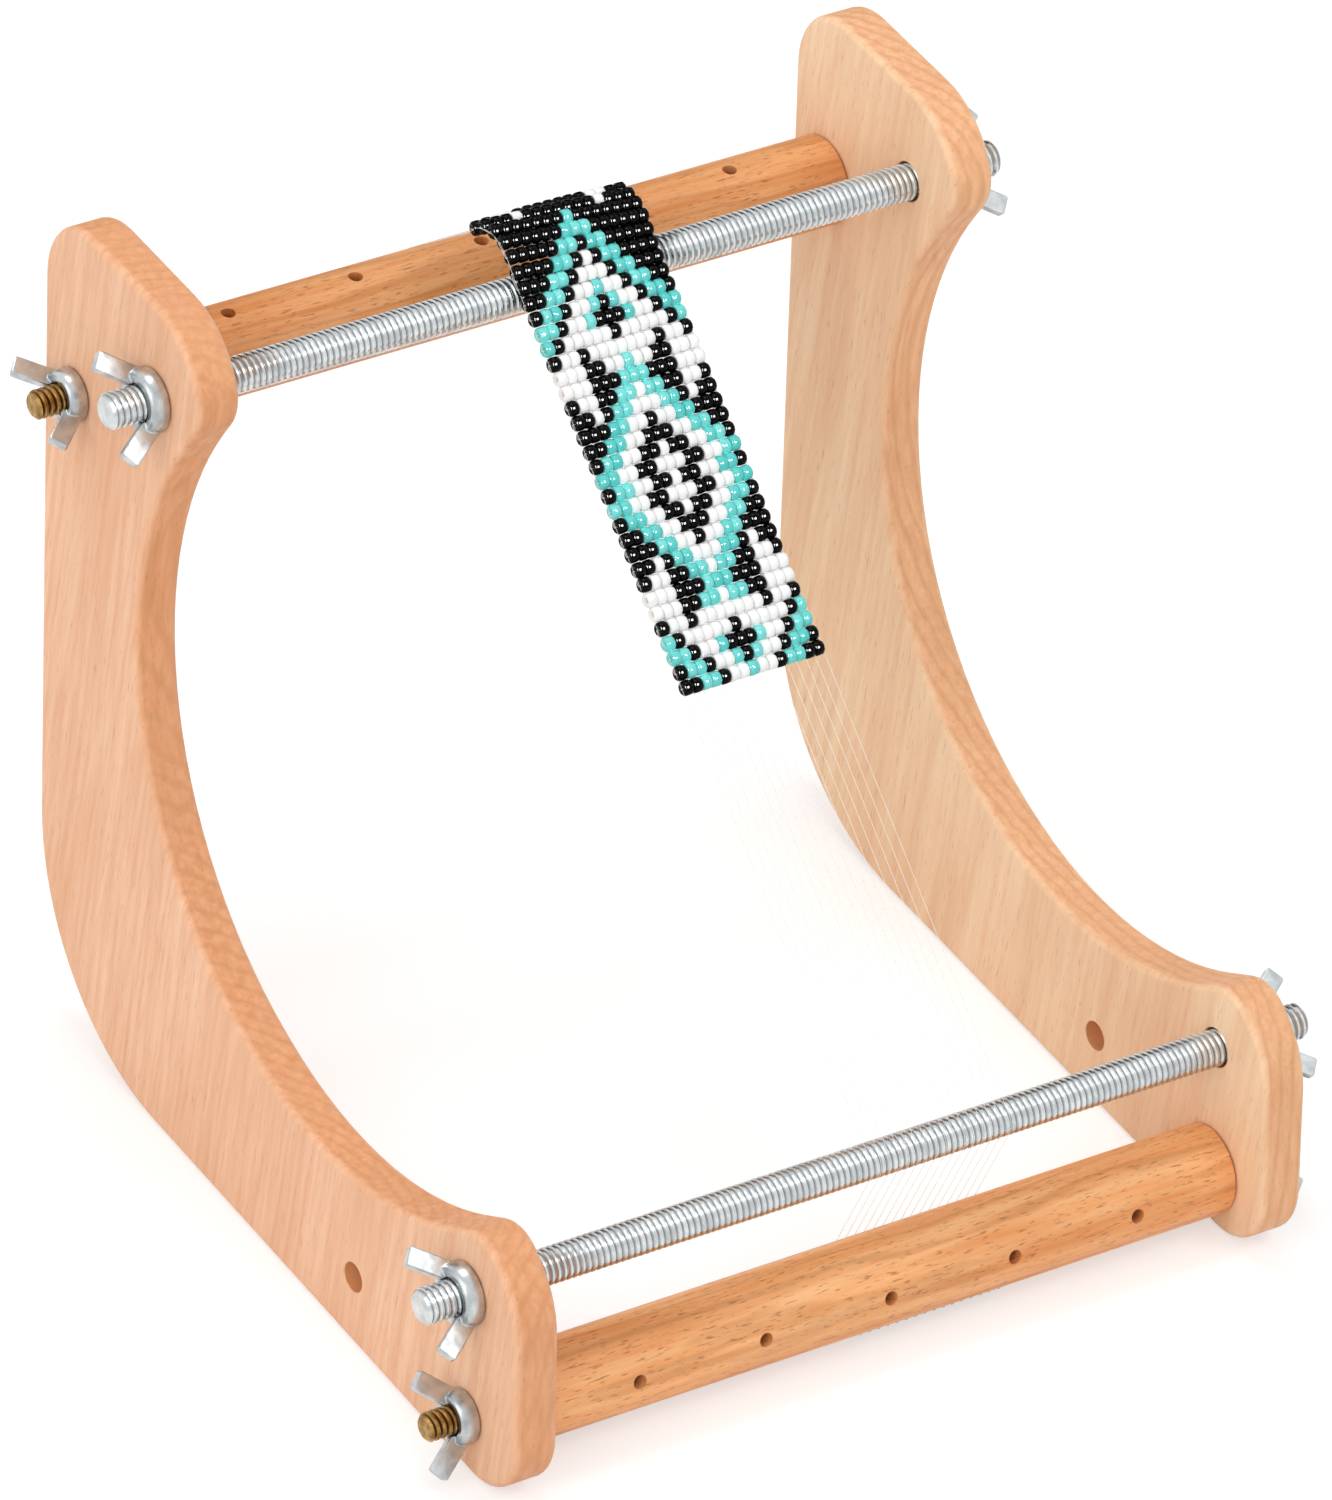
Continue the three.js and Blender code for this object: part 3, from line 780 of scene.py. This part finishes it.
def weft_loops():
    """The weft shows at the ends of the rows, where it goes round the outer warp thread."""
    ways = []
    lift = 0.32 * MM
    for row in range(bead_rows):
        middle = (row + 0.5) * bead_diameter
        for end in (-1, 1):
            w = end * beads_across * bead_length / 2
            place, out = work_at(middle - w * row_turn(middle))
            x = work_centre(middle) + w
            way = []
            for k in range(9):
                angle = math.pi * (k / 8 - 0.5)
                stand = out * math.sin(angle) * lift
                way.append(place + stand + across * (x + end * (math.cos(angle) * 0.45 - 0.15) * MM))
            ways.append(way)
        if row + 1 < bead_rows:
            end = -1 if row % 2 else 1
            w = end * (beads_across * bead_length / 2 + 0.28 * MM)
            way = []
            for k in range(7):
                distance = middle + bead_diameter * k / 6
                place, out = work_at(distance - w * row_turn(distance))
                bow = 0.12 * MM * math.sin(math.pi * k / 6)
                way.append(place - out * 0.1 * MM + across * (work_centre(distance) + w + end * bow))
            ways.append(way)
    return ways


def tie_place(centre, turn):
    """Where a tie cord's middle lies beside its roller, a rest gap and a little more away."""
    return centre + reach_at(turn) * (roller_diameter / 2 + 0.4 * MM + tie_diameter / 2)


def tie_cord(name, centre, turn, middle_x):
    """A cotton cord of three strands laid along the roller."""
    at = tie_place(centre, turn)
    half = (beads_across + 1) * bead_length / 2
    strands = []
    for strand in range(3):
        way = []
        for k in range(121):
            x = -half + 2 * half * k / 120
            angle = x / (1.1 * MM) + math.tau * strand / 3
            offset = Vector((0, math.cos(angle), math.sin(angle))) * tie_diameter * 0.24
            way.append(at + offset + across * (middle_x + x))
        strands.append(way)
    return tubes(name, strands, tie_diameter * 0.52, finishes["cotton"], "clear_thread")


def knots(name, centre, turn, middle_x):
    """Each warp thread wound three times round the cord."""
    at = tie_place(centre, turn)
    ways = []
    for k in range(beads_across + 1):
        x = middle_x + (k - beads_across / 2) * bead_length
        way = []
        for step in range(31):
            angle = math.tau * step / 10
            loop = Vector((0, math.cos(angle), math.sin(angle))) * (tie_diameter / 2 + 0.12 * MM)
            way.append(at + loop + across * (x + (step / 30 - 0.5) * 0.8 * MM))
        ways.append(way)
    return tubes(name, ways, thread_diameter, finishes["nylon"], "clear_thread")


finishes = {
    "left_board": beech_board("beech_board", ("f8c9a6", "ebb28c"), ("edab7d", "de9765")),
    "right_board": beech_board("pale_beech_board", ("fedeb8", "f5cba3"), ("f6be91", "e9aa79")),
    "upper_dowel": beech_dowel("beech_dowel", "efae75", "da8a49"),
    "lower_dowel": beech_dowel("pale_beech_dowel", "ffc186", "f39f5c"),
    "steel": plated_steel("bright_zinc", "dcdfde", "bfc3c5", 0.2),
    "cast_steel": plated_steel("cast_zinc", "cdd1d2", "a9aeb1", 0.26),
    "yellow": yellowed_zinc(),
    "black": bead_glass("black_glass", "020202", "050506", roughness=0.04, ior=1.16),
    "white": bead_glass("white_glass", "fdfdfc", "f5f6f6", roughness=0.2, ior=1.4),
    "turquoise": bead_glass("turquoise_glass", "80e2de", "58cac6", roughness=0.05, ior=1.2),
    "nylon": nylon(),
    "cotton": cotton(),
}

# The loom, piece by piece
for hand in SIDE_X:
    cheek_board(hand, finishes[f"{hand}_board"])

roller_dowel("upper", upper_roller, math.radians(90), finishes["upper_dowel"])
roller_dowel("lower", lower_roller, math.radians(17), finishes["lower_dowel"])

for level in ("upper", "lower"):
    threaded_bar(f"{level}_rod_studding", f"{level}_threaded_rod", "frame", "zinc_steel",
                 pitch=1.87 * MM, depth=0.45 * MM, chamfer=1.1 * MM, material=finishes["steel"])
    for hand in SIDE_X:
        threaded_bar(f"{level}_{hand}_bolt_thread", f"{level}_{hand}_hanger_bolt", f"{level}_roller",
                     "yellow_zinc", pitch=1.85 * MM, depth=0.65 * MM, chamfer=0.9 * MM,
                     material=finishes["yellow"])

rod_nut = wing_nut_mesh(rod_diameter, base=17.8 * MM, tip_span=27.2 * MM, tip_height=12.4 * MM)
bolt_nut = wing_nut_mesh(bolt_diameter, base=15 * MM, tip_span=25.6 * MM, tip_height=11.8 * MM)

# How far each nut stands turned about its thread, in degrees
nut_turns = {
    "upper_left_rod": 43,
    "upper_right_rod": 40,
    "lower_left_rod": 37,
    "lower_right_rod": 35,
    "upper_left_roller": 20,
    "upper_right_roller": 28,
    "lower_left_roller": 54,
    "lower_right_roller": 52,
}
axes = {
    "upper_rod": upper_rod,
    "lower_rod": lower_rod,
    "upper_roller": upper_roller,
    "lower_roller": lower_roller,
}
for stem, turn in nut_turns.items():
    level, hand, bar = stem.split("_")
    pattern = rod_nut if bar == "rod" else bolt_nut
    place_wing_nut(pattern, f"{stem}_wing_nut", f"{stem}_nut", SIDE_X[hand], axes[f"{level}_{bar}"], turn,
                   finishes["cast_steel"])
discard(rod_nut)
discard(bolt_nut)

beadwork({"black": finishes["black"], "white": finishes["white"], "turquoise": finishes["turquoise"]})
tubes("warp_strands", warp_ways(), thread_diameter, finishes["nylon"], "clear_thread", "warp_threads",
      "upper_warp_threads")
tubes("weft_ends", weft_loops(), thread_diameter, finishes["nylon"], "clear_thread")
tie_cord("lower_tie_cord", lower_roller, lower_tie_turn, lower_middle)
tie_cord("upper_tie_cord", upper_roller, upper_tie_turn, work_at_rod)
knots("lower_knots", lower_roller, lower_tie_turn, lower_middle)
knots("upper_knots", upper_roller, upper_tie_turn, work_at_rod)


# The studio: a white floor that keeps the shadow, a white world, soft lamps
def seen_directly(nodes, links, strength, otherwise=0.0):
    """The strength for camera, glossy and transmission rays, and another for the rest."""
    path = nodes.new("ShaderNodeLightPath")
    seen = path.outputs["Is Camera Ray"]
    for name in ("Is Glossy Ray", "Is Transmission Ray"):
        either = nodes.new("ShaderNodeMath")
        either.operation = "MAXIMUM"
        links.new(seen, either.inputs[0])
        links.new(path.outputs[name], either.inputs[1])
        seen = either.outputs["Value"]
    scale = nodes.new("ShaderNodeMapRange")
    scale.inputs["To Min"].default_value = otherwise
    scale.inputs["To Max"].default_value = strength
    links.new(seen, scale.inputs["Value"])
    return scale.outputs["Result"]


def studio_floor():
    """Lit by the lamps, with a glow of its own that only direct sight gets, so that its shadow is soft."""
    bpy.ops.mesh.primitive_plane_add(size=2.4, location=(0, 0, 0))
    floor = bpy.context.object
    floor.name = "studio_floor"
    settle(floor)
    material = bpy.data.materials.new("studio_white")
    material.use_nodes = True
    nodes = material.node_tree.nodes
    links = material.node_tree.links
    nodes.clear()
    output = nodes.new("ShaderNodeOutputMaterial")
    paper = nodes.new("ShaderNodeBsdfDiffuse")
    links.new(seen_directly(nodes, links, 0.62, 0.8), paper.inputs["Color"])
    glow = nodes.new("ShaderNodeEmission")
    add = nodes.new("ShaderNodeAddShader")
    links.new(seen_directly(nodes, links, 0.5), glow.inputs["Strength"])
    links.new(paper.outputs["BSDF"], add.inputs[0])
    links.new(glow.outputs["Emission"], add.inputs[1])
    links.new(add.outputs["Shader"], output.inputs["Surface"])
    floor.data.materials.append(material)


def studio_world():
    world = bpy.data.worlds.new("studio_world")
    bpy.context.scene.world = world
    world.use_nodes = True
    nodes = world.node_tree.nodes
    links = world.node_tree.links
    background = nodes["Background"]
    background.inputs["Color"].default_value = (1, 1, 1, 1)
    links.new(seen_directly(nodes, links, 1.0, 0.66), background.inputs["Strength"])


def lamp(name, way, distance, size, energy, mirrored=False, only_for=None):
    """A square lamp. A catchlight is only for the pieces named, and only as a reflection."""
    light = bpy.data.lights.new(name, "AREA")
    light.shape = "SQUARE"
    light.size = size
    light.energy = energy
    holder = bpy.data.objects.new(name, light)
    aim = Vector((0, 0, 0.12))
    holder.location = aim + Vector(way).normalized() * distance
    holder.rotation_euler = (aim - holder.location).to_track_quat("-Z", "Y").to_euler()
    holder.visible_glossy = mirrored
    if only_for:
        holder.visible_diffuse = False
        chosen = bpy.data.collections.new(name + "_receivers")
        for piece_name in only_for:
            chosen.objects.link(bpy.data.objects[piece_name])
        holder.light_linking.receiver_collection = chosen
    bpy.context.scene.collection.objects.link(holder)


def dark_card(name, way, distance, size):
    """A card that only mirror-like surfaces see, to give the plated steel something dark to show."""
    bpy.ops.mesh.primitive_plane_add(size=size)
    card = bpy.context.object
    card.name = name
    aim = Vector((0, 0, 0.12))
    place = aim + Vector(way).normalized() * distance
    turn = (aim - place).to_track_quat("Z", "Y").to_matrix().to_4x4()
    card.data.transform(Matrix.Translation(place) @ turn)
    card.visible_camera = False
    card.visible_diffuse = False
    card.visible_transmission = False
    card.visible_shadow = False
    material = bpy.data.materials.new(name)
    material.use_nodes = True
    shader = material.node_tree.nodes["Principled BSDF"]
    shader.inputs["Base Color"].default_value = (0.02, 0.02, 0.022, 1)
    shader.inputs["Roughness"].default_value = 1.0
    shader.inputs["Specular IOR Level"].default_value = 0.0
    card.data.materials.append(material)


def studio_camera():
    camera = bpy.data.cameras.new("camera")
    camera.lens = 360
    camera.sensor_width = 36
    camera.clip_end = 20
    holder = bpy.data.objects.new("camera", camera)
    right = Vector((0.82724, -0.54730, 0.12703))
    image_down = Vector((-0.25490, -0.56708, -0.78323))
    forward = Vector((0.50070, 0.61554, -0.60862))
    turn = Matrix((right, -image_down, -forward)).transposed()
    holder.matrix_world = Matrix.Translation((-1.9571, -2.40155, 2.4874)) @ turn.to_4x4()
    bpy.context.scene.collection.objects.link(holder)
    bpy.context.scene.camera = holder


studio_floor()
studio_world()
lamp("left_lamp", (-0.85, -0.12, 0.52), 1.8, 1.3, 7, mirrored=True)
lamp("fill_lamp", (-0.6, -0.7, 0.4), 2.0, 1.2, 5.5)
lamp("front_lamp", (0.32, -0.5, 0.8), 1.8, 0.5, 3.2, mirrored=True)
lamp("top_lamp", (0.0, 0.35, 0.94), 1.8, 0.6, 7, mirrored=True)
dark_beads = ("black_beads", "turquoise_beads")
lamp("left_catchlight", (-0.85, -0.2, 0.5), 1.8, 0.8, 550, mirrored=True, only_for=dark_beads)
lamp("right_catchlight", (0.1, -0.75, 0.75), 1.8, 0.8, 550, mirrored=True, only_for=dark_beads)
dark_card("back_card", (0.45, 0.85, 0.25), 1.6, 1.3)
studio_camera()
bpy.context.scene.view_settings.view_transform = "Standard"
